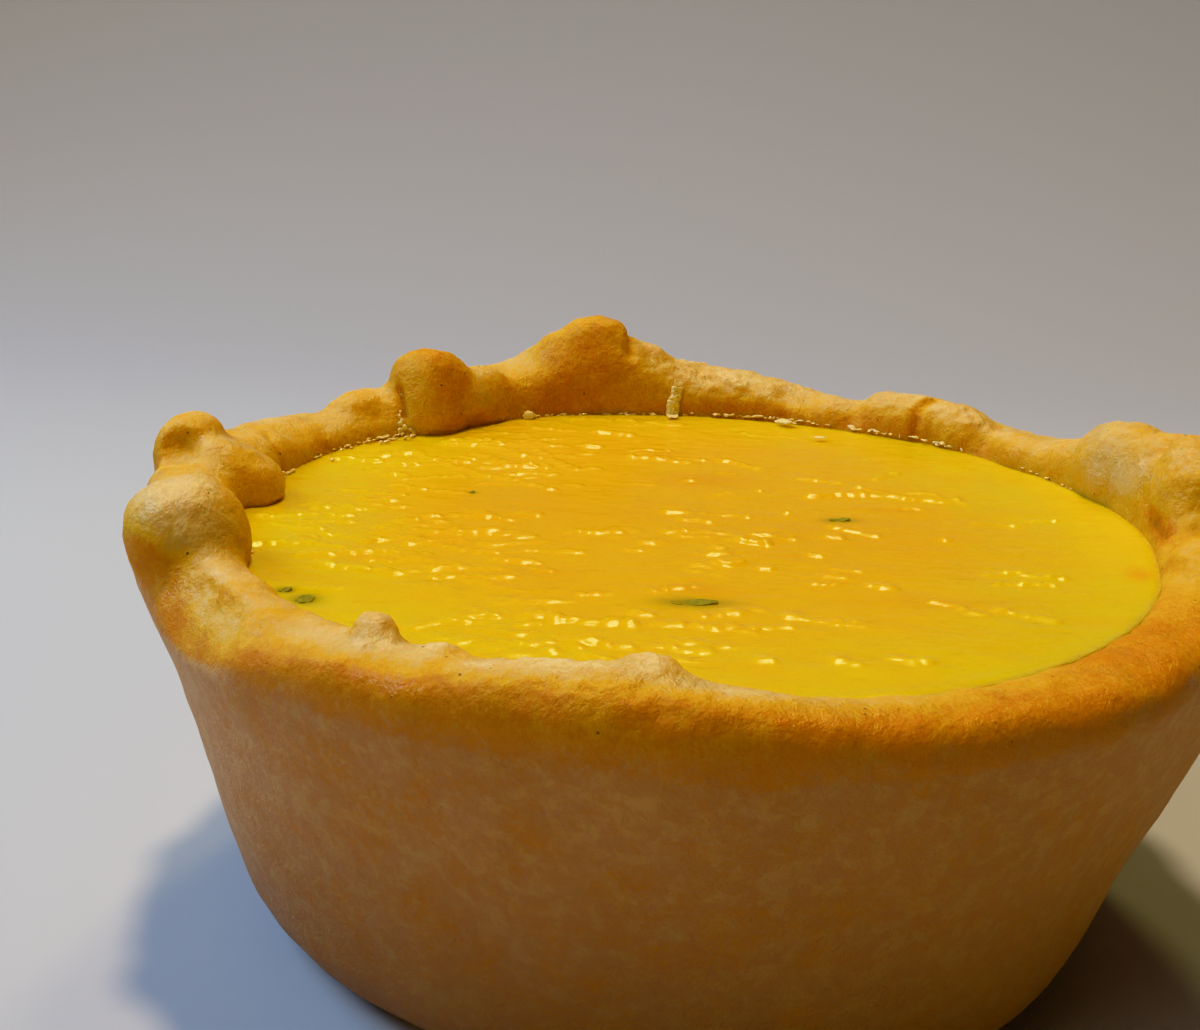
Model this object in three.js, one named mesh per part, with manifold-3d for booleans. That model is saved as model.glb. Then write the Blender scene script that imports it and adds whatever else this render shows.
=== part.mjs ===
// A small round quiche, baked in a bun tin and turned out: a pinched shortcrust shell filled with
// set egg custard. Millimetres, +Z up, the origin on the tin's axis at the flat foot. Azimuths are
// degrees anticlockwise from +X, seen from above.

import * as THREE from "three";
import { mergeVertices } from "three/addons/utils/BufferGeometryUtils.js";
import Module from "manifold-3d";

const wasm = await Module();
wasm.setup();

// ---- driving dimensions ----
const FOOT_RADIUS = 24.9; // flat that the quiche stands on
const CORNER_RADIUS = 6; // rounding between foot and wall
const WALL_DRAFT = 17.4; // degrees that the tin's wall leans out
const TIN_EDGE = 22.5; // height up to which the tin shaped the wall
const RIM_LEVEL = 28; // top of a plain stretch of rim
const RIM_FULLNESS = 0.6; // below 1, the rim's outer edge is squarer than an ellipse
const OUTER_SHOULDER = 25.3; // where the rim starts to round over, outside
const INNER_SHOULDER = 26.3; // and inside
const CUSTARD_LEVEL = 26.7;
const CUSTARD_RADIUS = 30.9; // at its surface
const FLOOR_THICKNESS = 4.2; // dough under the custard
const CAVITY_FLOOR_RADIUS = 22; // flat bottom of the custard
const CAVITY_BELLY = 2.6; // how far the cavity's wall bows out
const CUSTARD_GAP = 0.3; // clearance between custard and dough
const CUSTARD_DIPS = 0.25; // how far its surface sinks and rises
const CUSTARD_LIP = 1; // depth over which its edge follows the rounding of the rim
const TURN_STEPS = 128; // facets round the shell
const CUSTARD_TURN_STEPS = 64;

// ---- how the dough was pinched: smooth swells round the rim ----
// Each adds `amount` mm at its azimuth and fades over `spread` degrees.
const RIM_RISES = [
  { azimuth: 105, spread: 5.5, amount: 2.9 }, // pinched peak
  { azimuth: 110, spread: 14, amount: 2.4 }, // its long left flank
  { azimuth: 131, spread: 7, amount: 1 }, // under the knuckle
  { azimuth: 86, spread: 12, amount: 1.5 }, // slope to the right of the peak
  { azimuth: 70, spread: 5, amount: -0.6 },
  { azimuth: 57, spread: 7, amount: 0.7 },
  { azimuth: 13, spread: 12, amount: 4.3 }, // high stretch on the right
  { azimuth: 178, spread: 19, amount: 2.1 }, // and on the left
  { azimuth: 264, spread: 10, amount: 1.5 }, // low ridge on the near side
  { azimuth: 318, spread: 30, amount: -0.9 }, // worn nearly flush with the custard
];
const OUTER_SWELLS = [
  { azimuth: 140, spread: 14, amount: -0.5 },
  { azimuth: 60, spread: 20, amount: 0.4 },
  { azimuth: 350, spread: 12, amount: 0.7 },
  { azimuth: 290, spread: 16, amount: 0.3 },
];
const INNER_SWELLS = [
  { azimuth: 131, spread: 9, amount: 1.4 }, // dough pushed into the custard
  { azimuth: 99, spread: 12, amount: 0.9 },
  { azimuth: 168, spread: 8, amount: 0.4 },
  { azimuth: 50, spread: 8, amount: -0.9 },
  { azimuth: 5, spread: 16, amount: -0.8 },
  { azimuth: 288, spread: 13, amount: -0.9 },
];
// Where the rim's outer half slopes down to the wall instead of standing square.
const OUTER_SLOPES = [{ azimuth: 217, spread: 8, amount: 3.2 }];
const SLOPE_START = 0.45; // share of the way from the inner to the outer face where they begin
// Broad dents (and bulges, where negative) that the wall kept from the tin and from handling.
const WALL_DENTS = [
  { azimuth: 342, height: 5, spread: 14, tall: 5, depth: 0.6 },
  { azimuth: 350, height: 14, spread: 14, tall: 4.5, depth: -0.7 },
  { azimuth: 308, height: 3, spread: 12, tall: 5, depth: -0.8 },
  { azimuth: 200, height: 20, spread: 14, tall: 4, depth: 0.5 },
  { azimuth: 75, height: 12, spread: 20, tall: 8, depth: 0.6 },
  { azimuth: 150, height: 14, spread: 18, tall: 9, depth: -0.4 },
];
// The slow unevenness of hand-rolled dough: a few waves that close up round the shell.
const DOUGH_WAVES = [
  { lobes: 5, phase: 20, climb: 0.11, size: 0.16 },
  { lobes: 9, phase: 75, climb: -0.19, size: 0.12 },
  { lobes: 17, phase: 140, climb: 0.31, size: 0.09 },
];

// ---- lumps of dough folded over the rim ----
// half: half sizes along the rim, across it and upwards. lean tips the top outwards and roll tips
// it clockwise, in degrees. detail sets the number of facets.
const FOLDS = [
  { azimuth: 203, radius: 34.1, height: 28.4, half: [3.8, 3.9, 3.9], lean: 8, roll: 0, detail: 3 },
  { azimuth: 175.5, radius: 35.4, height: 29.2, half: [3.4, 2.5, 2.9], lean: 6, roll: 0, detail: 3 },
  { azimuth: 178.5, radius: 32, height: 28.2, half: [2.9, 3.7, 2.5], lean: -22, roll: 0, detail: 3 },
  { azimuth: 142, radius: 33.8, height: 28, half: [3.6, 2.2, 1.9], lean: 0, roll: -6, detail: 2 },
  { azimuth: 133.2, radius: 31.4, height: 29, half: [3, 3.4, 4.2], lean: 10, roll: 4, detail: 3 },
  { azimuth: 125.5, radius: 31.8, height: 28.1, half: [3.9, 2.6, 3.1], lean: 12, roll: -8, detail: 2 },
  { azimuth: 104.5, radius: 33.7, height: 31.3, half: [3.2, 2.6, 3.1], lean: -4, roll: -8, detail: 3 },
  { azimuth: 97, radius: 33.9, height: 30.6, half: [2.2, 1.9, 1.5], lean: 0, roll: 24, detail: 2 },
  { azimuth: 69, radius: 33.6, height: 26.7, half: [2.4, 2.7, 2], lean: 0, roll: 0, detail: 2 },
  { azimuth: 58, radius: 33.9, height: 27.4, half: [4.6, 2.9, 2.4], lean: 6, roll: 0, detail: 2 },
  { azimuth: 49.5, radius: 34.2, height: 27.2, half: [3.6, 2.9, 2.2], lean: 6, roll: 10, detail: 2 },
  { azimuth: 37, radius: 33.9, height: 26.8, half: [3.9, 2.9, 1.9], lean: 10, roll: 4, detail: 2 },
  { azimuth: 19.5, radius: 34.2, height: 28.8, half: [5, 3.5, 3.6], lean: 8, roll: -10, detail: 3 },
  { azimuth: 3, radius: 34.8, height: 29.4, half: [3.6, 3.2, 3.8], lean: 8, roll: 6, detail: 3 },
  { azimuth: 348, radius: 34.8, height: 26.6, half: [3.8, 2.9, 2.2], lean: 4, roll: 8, detail: 2 },
  { azimuth: 239.5, radius: 33, height: 27.7, half: [1.4, 1.5, 2.2], lean: 0, roll: 10, detail: 1 },
  { azimuth: 247, radius: 32.8, height: 27.4, half: [1.5, 1.6, 1.3], lean: 0, roll: 0, detail: 1 },
  { azimuth: 267, radius: 32.8, height: 28.2, half: [1.9, 1.8, 1.6], lean: 0, roll: 0, detail: 1 },
  { azimuth: 274, radius: 35.3, height: 23.2, half: [6, 2, 4.3], lean: 17, roll: 10, detail: 3 },
];
// The pocket left open where the dough curls over itself.
const POCKET = {
  azimuth: 181.5,
  radius: 35.3,
  height: 30.6,
  half: [2.4, 1.5, 1.4],
  lean: 0,
  roll: 0,
  detail: 2,
};
const PLUMPNESS = 0.88; // below 1, a fold is fuller than an ellipsoid

const { clamp, degToRad, radToDeg, euclideanModulo, lerp, smoothstep } = THREE.MathUtils;

// ---- reading the lists above ----
// Shortest way round from one azimuth to another, in degrees.
function turnBetween(a, b) {
  return euclideanModulo(a - b + 180, 360) - 180;
}

function bell(distance, spread) {
  return Math.exp(-0.5 * (distance / spread) ** 2);
}

function total(list, term) {
  return list.reduce((sum, item) => sum + term(item), 0);
}

function swell(list, azimuth) {
  return total(list, (s) => s.amount * bell(turnBetween(azimuth, s.azimuth), s.spread));
}

function dent(azimuth, z) {
  return total(
    WALL_DENTS,
    (d) => d.depth * bell(turnBetween(azimuth, d.azimuth), d.spread) * bell(z - d.height, d.tall),
  );
}

function unevenness(azimuth, z) {
  return total(
    DOUGH_WAVES,
    (w) => w.size * Math.sin(degToRad(w.lobes * azimuth + w.phase) + w.climb * z),
  );
}

// ---- the turned section of the tin and of the cavity ----
const draft = degToRad(WALL_DRAFT);
const cornerTop = {
  r: FOOT_RADIUS + CORNER_RADIUS * Math.cos(draft),
  z: CORNER_RADIUS * (1 - Math.sin(draft)),
};

function tinRadius(z) {
  return cornerTop.r + (z - cornerTop.z) * Math.tan(draft);
}

function cavityRadius(z) {
  const share = clamp((z - FLOOR_THICKNESS) / (INNER_SHOULDER - FLOOR_THICKNESS), 0, 1);
  const belly = CAVITY_BELLY * Math.sin(Math.PI * share);
  return lerp(CAVITY_FLOOR_RADIUS, CUSTARD_RADIUS, share) + belly;
}

// `count` values that run from one number, left out, to another.
function steps(from, to, count) {
  return Array.from({ length: count }, (_, i) => lerp(from, to, (i + 1) / count));
}

// Points are { r, z, share }: share is 1 on the dough's outer face and 0 on its inner one. The cap
// over the rim is at 0 degrees outside, 90 on top and 180 inside.
function rimCap(angle, shoulder, fullness) {
  const across = Math.cos(degToRad(angle));
  const share = (1 + Math.sign(across) * Math.abs(across) ** fullness) / 2;
  return {
    r: lerp(CUSTARD_RADIUS, tinRadius(OUTER_SHOULDER), share),
    z: lerp(shoulder, RIM_LEVEL, Math.sin(degToRad(angle)) ** fullness),
    share,
  };
}

function crustProfile() {
  const corner = steps(-90, -WALL_DRAFT, 4).map((angle) => ({
    r: FOOT_RADIUS + CORNER_RADIUS * Math.cos(degToRad(angle)),
    z: CORNER_RADIUS * (1 + Math.sin(degToRad(angle))),
    share: 1,
  }));
  const wall = steps(cornerTop.z, OUTER_SHOULDER, 5).map((z) => ({ r: tinRadius(z), z, share: 1 }));
  const cavity = steps(INNER_SHOULDER, FLOOR_THICKNESS, 4).map((z) => ({
    r: cavityRadius(z),
    z,
    share: 0,
  }));
  return [
    { r: 0, z: 0, share: 1 },
    { r: FOOT_RADIUS, z: 0, share: 1 },
    ...corner,
    ...wall,
    ...steps(0, 90, 4).map((angle) => rimCap(angle, OUTER_SHOULDER, RIM_FULLNESS)),
    ...steps(90, 180, 4).map((angle) => rimCap(angle, INNER_SHOULDER, 1)),
    ...cavity,
    { r: 0, z: FLOOR_THICKNESS, share: 0 },
  ];
}

// ---- how the turned section was pulled about by hand ----
// The pinched rim stretches all that stood above the tin's edge.
function rimStretch(azimuth) {
  return 1 + swell(RIM_RISES, azimuth) / (RIM_LEVEL - TIN_EDGE);
}

function outward(azimuth, z) {
  const swelling = swell(OUTER_SWELLS, azimuth) * smoothstep(z, 8, CUSTARD_LEVEL);
  return swelling - dent(azimuth, z) + unevenness(azimuth, z);
}

// The inner face's push into the custard dies away towards the floor of the cavity.
function inward(azimuth, z) {
  return swell(INNER_SWELLS, azimuth) * smoothstep(z, FLOOR_THICKNESS, CUSTARD_LEVEL);
}

// How far the rim's outer half is pressed down at a point of the turned section.
function outerSlope({ z, share }, azimuth) {
  const outerHalf = smoothstep(share, SLOPE_START, 1) * smoothstep(z, TIN_EDGE, RIM_LEVEL);
  return swell(OUTER_SLOPES, azimuth) * outerHalf;
}

function shapeDough(point, azimuth) {
  const { r, z: turnedZ, share } = point;
  const stretched = turnedZ + Math.max(0, turnedZ - TIN_EDGE) * (rimStretch(azimuth) - 1);
  const z = stretched - outerSlope(point, azimuth);
  if (r === 0) return { r, z };
  return { r: r + outward(azimuth, z) * share - inward(azimuth, z) * (1 - share), z };
}

// Radius of the dough's inner face at a height below the rim's top.
function innerFace(azimuth, z) {
  const turnedZ = z - Math.max(0, z - TIN_EDGE) * (1 - 1 / rimStretch(azimuth));
  if (turnedZ <= INNER_SHOULDER) return cavityRadius(turnedZ) - inward(azimuth, z);
  const rise = Math.min(1, (turnedZ - INNER_SHOULDER) / (RIM_LEVEL - INNER_SHOULDER));
  return shapeDough(rimCap(180 - radToDeg(Math.asin(rise)), INNER_SHOULDER, 1), azimuth).r;
}

// ---- the custard: share is the part of the way from the axis to the dough ----
function custardProfile() {
  const bottom = FLOOR_THICKNESS + CUSTARD_GAP;
  return [
    { r: 0, z: bottom, share: 0 },
    { r: CAVITY_FLOOR_RADIUS, z: bottom, share: 1 },
    ...[...steps(bottom, CUSTARD_LEVEL - CUSTARD_LIP, 4), CUSTARD_LEVEL].map((z) => ({
      r: cavityRadius(z),
      z,
      share: 1,
    })),
    ...steps(1, 0, 7).map((share) => ({ r: share * CUSTARD_RADIUS, z: CUSTARD_LEVEL, share })),
  ];
}

function shapeCustard({ z: level, share }, azimuth) {
  const turn = degToRad(azimuth);
  const dips = CUSTARD_DIPS * share ** 2 * Math.sin(7 * share + turn) * Math.cos(3 * turn);
  const z = level < CUSTARD_LEVEL ? level : level + dips;
  return { r: share * (innerFace(azimuth, z) - CUSTARD_GAP), z };
}

// ---- turning and folding ----
// Turns a profile round +Z, then puts each vertex where shape(point, azimuth) says.
function turned(profile, turnSteps, shape) {
  const outline = profile.map(({ r, z }) => new THREE.Vector2(r, z));
  const geometry = new THREE.LatheGeometry(outline, turnSteps);
  const position = geometry.getAttribute("position");
  for (let i = 0; i < position.count; i++) {
    const column = Math.floor(i / profile.length) % turnSteps;
    const azimuth = (360 * column) / turnSteps;
    const { r, z } = shape(profile[i % profile.length], azimuth);
    position.setXYZ(i, r * Math.cos(degToRad(azimuth)), r * Math.sin(degToRad(azimuth)), z);
  }
  return geometry;
}

// One fold or pocket: a plump blob set on the rim, grown all round by `grow`.
function blob({ azimuth, radius, height, half, lean, roll, detail }, grow = 0) {
  const [along, across, tall] = half.map((h) => h + grow);
  const geometry = new THREE.IcosahedronGeometry(1, detail);
  const position = geometry.getAttribute("position");
  const plump = (x) => Math.sign(x) * Math.abs(x) ** PLUMPNESS;
  for (let i = 0; i < position.count; i++) {
    position.setXYZ(
      i,
      plump(position.getX(i)) * across,
      plump(position.getY(i)) * along,
      plump(position.getZ(i)) * tall,
    );
  }
  return geometry
    .rotateY(degToRad(lean))
    .rotateX(degToRad(roll))
    .translate(radius, 0, height)
    .rotateZ(degToRad(azimuth));
}

// ---- solids ----
function solidOf(geometry) {
  const bare = geometry.clone();
  bare.deleteAttribute("normal");
  bare.deleteAttribute("uv");
  const { index, attributes } = mergeVertices(bare, 1e-4);
  return new wasm.Manifold(
    new wasm.Mesh({
      numProp: 3,
      vertProperties: attributes.position.array,
      triVerts: new Uint32Array(index.array),
    }),
  );
}

function meshOf(name, solid, material) {
  const { numProp, vertProperties, triVerts } = solid.getMesh();
  const geometry = new THREE.BufferGeometry()
    .setAttribute("position", new THREE.BufferAttribute(vertProperties, numProp))
    .setIndex(new THREE.BufferAttribute(triVerts, 1));
  geometry.computeVertexNormals();
  const mesh = new THREE.Mesh(geometry, material);
  mesh.name = name;
  return mesh;
}

function makeCrust() {
  let dough = solidOf(turned(crustProfile(), TURN_STEPS, shapeDough));
  for (const fold of FOLDS) dough = dough.add(solidOf(blob(fold)));
  dough = dough.subtract(solidOf(blob(POCKET)));
  const baked = new THREE.MeshStandardMaterial({ color: 0xd29b4b, roughness: 0.7, metalness: 0 });
  return meshOf("crust", dough, baked);
}

function makeCustard() {
  let custard = solidOf(turned(custardProfile(), CUSTARD_TURN_STEPS, shapeCustard));
  for (const fold of FOLDS) custard = custard.subtract(solidOf(blob(fold, CUSTARD_GAP)));
  const set = new THREE.MeshStandardMaterial({ color: 0xe9b414, roughness: 0.25, metalness: 0 });
  return meshOf("custard", custard, set);
}

const quiche = new THREE.Group();
quiche.name = "quiche";
quiche.add(makeCrust(), makeCustard());

export default quiche;
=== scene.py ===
import contextlib
import itertools
import math

import bpy
import numpy as np
from bpy.props import FloatProperty, FloatVectorProperty, PointerProperty
from mathutils import Matrix, Vector
from mathutils.bvhtree import BVHTree


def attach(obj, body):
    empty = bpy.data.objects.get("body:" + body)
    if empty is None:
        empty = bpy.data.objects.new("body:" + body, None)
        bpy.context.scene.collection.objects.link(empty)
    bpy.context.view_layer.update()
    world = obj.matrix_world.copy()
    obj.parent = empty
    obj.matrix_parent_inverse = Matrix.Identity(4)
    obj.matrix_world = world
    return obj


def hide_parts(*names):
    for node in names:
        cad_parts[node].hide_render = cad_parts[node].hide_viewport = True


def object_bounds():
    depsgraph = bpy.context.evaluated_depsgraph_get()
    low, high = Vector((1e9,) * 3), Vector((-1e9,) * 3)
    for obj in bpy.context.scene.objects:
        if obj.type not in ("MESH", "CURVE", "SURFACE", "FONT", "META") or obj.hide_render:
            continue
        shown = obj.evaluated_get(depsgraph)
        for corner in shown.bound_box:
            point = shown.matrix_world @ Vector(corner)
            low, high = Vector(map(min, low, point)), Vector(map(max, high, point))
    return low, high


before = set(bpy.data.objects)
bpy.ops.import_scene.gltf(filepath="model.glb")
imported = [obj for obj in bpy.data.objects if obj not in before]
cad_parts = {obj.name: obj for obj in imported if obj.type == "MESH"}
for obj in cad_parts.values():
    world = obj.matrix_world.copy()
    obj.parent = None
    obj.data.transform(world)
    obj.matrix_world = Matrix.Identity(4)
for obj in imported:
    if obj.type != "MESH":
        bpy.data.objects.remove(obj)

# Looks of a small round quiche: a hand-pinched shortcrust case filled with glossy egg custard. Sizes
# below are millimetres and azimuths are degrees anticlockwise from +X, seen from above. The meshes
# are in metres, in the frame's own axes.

CAD_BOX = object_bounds()
MM = 0.001

bl_info = {
    "name": "Small quiche",
    "version": (1, 0, 0),
    "blender": (4, 5, 0),
    "location": "3D View > Sidebar > Quiche",
    "description": "Makes a small round quiche and a plain table to show it on",
    "category": "Object",
}

# ---- places on the quiche ----
CUSTARD_TOP = 26.7
CAVITY_DEPTH = 2.2  # below the custard's top, nothing of the case's inside shows
FOOT_TOP = 0.35
WALL_TOP = 22.5  # above it, the case was pinched by hand
INNER_FOOT = 21.5  # radius of the case's inside at the foot, how much it grows per height, and its end
INNER_DRAFT = 0.36
INNER_TOP = 33.5
OUTER_WALL = 24  # all of the wall's outside is farther out than this
FLOOR_TOP = 3
SKY = 50  # above everything
FULL_SHADE_DEPTH = 0.5  # a crease as deep as this gets the full painted shade

# Creases pressed into the dough: half width, depth, height of the lips beside it, and the path that it
# follows, as (azimuth, radius, height).
CREASES = [
    # deep cleft on the left of the knuckle
    (0.40, 0.45, 0.0, [(138.3, 31.5, 30.2), (138.7, 30.8, 29.2), (139.0, 30.4, 28.2)]),
    # sharp step on the right of the peak
    (0.45, 0.3, 0.08, [(99.6, 34.2, 33.3), (99.8, 32.4, 32.6), (100.4, 31.6, 31.4)]),
    # slanting folds in the pleats
    (0.40, 0.26, 0.08, [(54.0, 34.2, 29.8), (54.9, 32.4, 29.2), (54.9, 31.9, 28.1), (55.1, 31.6, 26.6)]),
    (0.6, 0.16, 0.0, [(64.8, 33.6, 28.9), (65.0, 32.2, 28.2), (65.4, 31.3, 26.8)]),
    (0.6, 0.14, 0.0, [(44.5, 34.5, 28.6), (44.0, 32.8, 28.1), (43.8, 31.6, 26.8)]),
    (0.5, 0.14, 0.04, [(76.5, 32.6, 28.6), (75.6, 31.2, 28.0), (75.2, 30.6, 26.8)]),
    # edge of the lobe that curls in on the left
    (0.40, 0.14, 0.04, [(161.8, 34.4, 29.4), (165.8, 31.9, 29.2), (167.3, 30.9, 28.5), (167.4, 30.5, 26.9)]),
    (0.60, 0.12, 0.0, [(152.4, 33.2, 29.1), (153.9, 31.4, 28.1), (154.6, 30.9, 26.9)]),
    # lumps on the right
    (0.7, 0.22, 0.0, [(9.0, 36.5, 32.4), (8.4, 33.2, 31.6), (6.5, 31.9, 29.6), (2.0, 31.6, 28.3),
                      (356.0, 32.2, 27.9)]),
    (0.6, 0.16, 0.0, [(354.8, 35.6, 30.0), (354.0, 33.2, 28.6), (352.0, 32.2, 27.4)]),
]

# Where folds were pressed together so that no valley is left: azimuth, radius, height and reach.
CLOSED_VALLEYS = [
    (128.6, 30.2, 31.4, 3.6),
    (127.5, 29.3, 28.6, 3.2),
    (110.0, 31.5, 31.0, 4.0),
    (102.0, 31.0, 31.0, 3.5),
    (66.0, 32.5, 28.6, 2.6),
    (54.5, 33.0, 29.4, 2.2),
    (44.0, 33.0, 28.6, 3.0),
    (8.0, 33.5, 31.0, 4.0),
    (2.0, 32.0, 28.5, 3.0),
    (354.5, 33.5, 28.6, 3.0),
    (240.7, 33.6, 28.2, 2.2),
    (247.0, 33.4, 28.2, 2.2),
    (206.0, 36.0, 27.5, 2.5),
]

# The dough's soft unevenness: a cloud's size, its height on the wall, how much more on the rim, and seed.
DOUGH_SWELLS = [(3.4, 0.10, 0.12, 1), (1.5, 0.03, 0.07, 2), (0.6, 0.0, 0.05, 5)]
# Where the rim's top is crumbly: azimuth, how far it reaches and how much. Then the heights between
# which it sets in, and its relief: a crumb's size, its height and seed.
CRUMBLY_STRETCHES = [(86, 16, 1.0), (50, 12, 1.0), (10, 18, 0.6), (255, 28, 0.8)]
CRUMBLY_FROM = (27.2, 28.8)
CRUMBLY_RELIEF = [(0.95, 0.11, 3), (0.55, 0.12, 4)]

# Edges that the fingers left soft: azimuth, radius, height and reach.
SOFT_EDGES = [
    (114.5, 31.4, 30.7, 1.8),
    (111.5, 31.2, 31.0, 2.0),
    (108.0, 30.7, 31.2, 2.2),
    (104.0, 30.5, 31.3, 2.2),
    (101.0, 30.9, 31.7, 1.8),
    (240.7, 33.6, 29.6, 1.2),
    (267.3, 33.3, 29.7, 1.2),
]
# Where one fold lies heaped on the next: azimuth, radius, height, reach and rise.
HEAPED_FOLDS = [
    (128.2, 30.3, 31.0, 1.4, 0.8),  # shoulder between the knuckle and the next fold
    (127.4, 30.0, 29.4, 1.6, 1.0),
    (126.8, 29.9, 27.8, 1.6, 0.6),
    (111.0, 33.8, 32.0, 1.8, 0.8),  # the peak's left flank
    (11.0, 35.3, 32.0, 2.0, 0.9),  # saddle on the right
    (6.0, 34.8, 32.5, 1.8, 0.7),
]

PATCH_DEPTH = 3.0  # how far a darker or paler patch reaches towards the middle and away from it
MOST_TOAST_AND_SHADE = 0.76  # how dark the dough's colour gets outside the creases, from browning and painted shade
# Where the dough's colour is darker (or paler, where negative) than elsewhere, partly from baking and
# partly as painted shade and painted light: azimuth, radius, height, how far the patch reaches along the
# rim and up it, and how much darker.
TOAST_AND_SHADE_PATCHES = [
    (106.5, 31.3, 30.6, 4.2, 3.0, 0.36),  # inner face of the peak
    (103.5, 33.5, 34.2, 2.6, 0.9, 0.30),  # its tip
    (97.5, 32.6, 30.6, 1.6, 1.6, -0.20),  # and its pale right flank
    (112.5, 31.6, 28.0, 3.5, 1.6, 0.24),
    (132.0, 28.6, 30.6, 1.6, 1.4, 0.36),  # the knuckle's right side
    (136.5, 29.0, 31.4, 1.2, 0.9, -0.12),  # its pale shoulder
    (133.0, 29.5, 31.0, 3.0, 2.4, 0.12),
    (107.0, 31.8, 30.5, 6.0, 3.5, 0.09),
    (126.5, 30.0, 29.6, 1.3, 1.0, -0.22),
    (117.5, 30.6, 30.8, 2.6, 0.5, -0.20),
    (135.0, 29.5, 29.2, 1.3, 1.8, 0.10),
    (133.5, 30.5, 33.0, 2.4, 0.8, 0.30),
    (128.0, 28.6, 27.4, 4.0, 0.8, 0.25),
    (82.0, 31.0, 27.4, 9.0, 1.0, 0.20),  # deeper strip along the back, above the custard
    (61.0, 31.6, 27.3, 4.0, 0.9, 0.20),
    (54.9, 32.2, 28.8, 0.6, 1.0, 0.30),
    (14.5, 31.4, 30.0, 3.8, 2.2, -0.34),
    (13.0, 33.5, 32.2, 3.0, 1.0, 0.10),
    (3.0, 31.6, 28.0, 2.6, 0.9, 0.24),
    (1.3, 31.7, 28.4, 0.8, 0.8, 0.35),
    (355.5, 32.5, 28.2, 1.6, 0.8, 0.30),
    (322.0, 35.6, 27.4, 4.5, 1.5, 0.45),
    (313.0, 34.8, 27.1, 1.6, 1.0, 0.20),
    (226.8, 36.2, 27.7, 1.6, 0.9, 0.26),
    (248.5, 33.8, 28.5, 0.9, 0.8, 0.25),
    (250.0, 37.2, 26.6, 6.0, 0.8, 0.44),  # painted shade under the near lip, with browner baking
    (264.5, 37.3, 27.5, 2.8, 0.6, 0.45),
    (280.0, 37.3, 26.0, 7.0, 1.2, 0.26),
    (300.0, 37.3, 25.8, 8.0, 1.0, 0.20),
    (303.0, 36.0, 27.8, 9.0, 1.6, 0.20),
    (319.0, 34.0, 27.2, 6.0, 1.4, 0.18),
    (210.5, 37.0, 25.4, 2.8, 1.2, 0.44),  # orange strip on the left
    (223.0, 36.2, 26.4, 5.0, 1.6, -0.34),  # and pale dough beside it
    (207.2, 37.3, 28.0, 2.2, 1.5, 0.60),
    (207.0, 35.2, 30.2, 4.4, 2.6, -0.62),  # painted light on the left lump's near side
    (240.7, 33.6, 29.6, 1.3, 1.4, -0.30),
    (246.9, 32.7, 28.7, 1.0, 0.9, -0.20),
    (267.3, 33.3, 29.7, 1.0, 0.9, -0.25),
    (234.5, 35.6, 27.9, 4.0, 1.2, -0.26),
    (256.0, 34.2, 28.6, 9.0, 1.4, -0.24),  # along the near rim's inner edge
    (286.0, 33.8, 28.2, 9.0, 1.4, -0.14),
]

# Wrinkled lines in the custard's skin: from (x, y) to (x, y), and half width.
SKIN_WRINKLES = [
    (-20.8, 14.1, -18.1, 11.4, 0.30),
    (-18.1, 11.4, -14.8, 9.0, 0.30),
    (-14.8, 9.0, -9.9, 6.4, 0.32),
    (-13.3, 20.9, -11.3, 15.6, 0.26),
    (-11.3, 15.6, -9.0, 12.0, 0.28),
    (-9.0, 12.0, -6.8, 12.4, 0.26),
    (-16.5, 14.9, -14.3, 13.2, 0.28),
    (-18.4, -4.1, -16.4, -2.4, 0.30),
    (-4.7, 17.8, -1.9, 18.0, 0.28),
    (-4.2, 16.9, -2.0, 17.2, 0.22),
    (2.2, 16.3, 5.1, 14.3, 0.32),
    (1.0, 1.9, 4.2, 1.7, 0.30),
    (8.2, 12.0, 11.2, 11.2, 0.26),
    (14.0, 12.7, 15.6, 14.6, 0.26),
    (14.3, 5.5, 16.3, 5.6, 0.26),
    (20.1, 2.9, 23.4, 3.3, 0.30),
    (-20.6, -9.6, -16.7, -10.1, 0.46),
    (-22.4, -13.3, -18.8, -13.4, 0.50),
    (-9.2, -7.9, -6.9, -7.7, 0.30),
    (-6.3, -16.2, -4.7, -15.8, 0.32),
    (-1.8, -14.8, 0.3, -13.6, 0.32),
    (-6.1, -23.9, -3.2, -24.6, 0.40),
    (-0.2, -23.5, 1.6, -23.9, 0.40),
    (4.2, -20.6, 6.3, -20.3, 0.34),
    (15.5, -14.4, 18.0, -16.5, 0.36),
    (19.2, -15.4, 22.2, -16.6, 0.34),
    (-13.1, -20.7, -11.1, -20.6, 0.36),
    (-15.2, -4.6, -10.6, -5.3, 0.50),
    (2.2, -7.9, 3.6, -7.9, 0.26),
    (2.0, -8.3, 3.7, -8.2, 0.30),
    (2.2, -8.6, 3.8, -8.5, 0.26),
    (3.4, -2.4, 5.8, -2.6, 0.24),
    (-8.6, -20.4, -3.0, -20.9, 0.50),
    (-1.0, -20.6, 3.0, -20.9, 0.46),
    (6.5, -18.6, 10.0, -18.8, 0.36),
]
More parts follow.
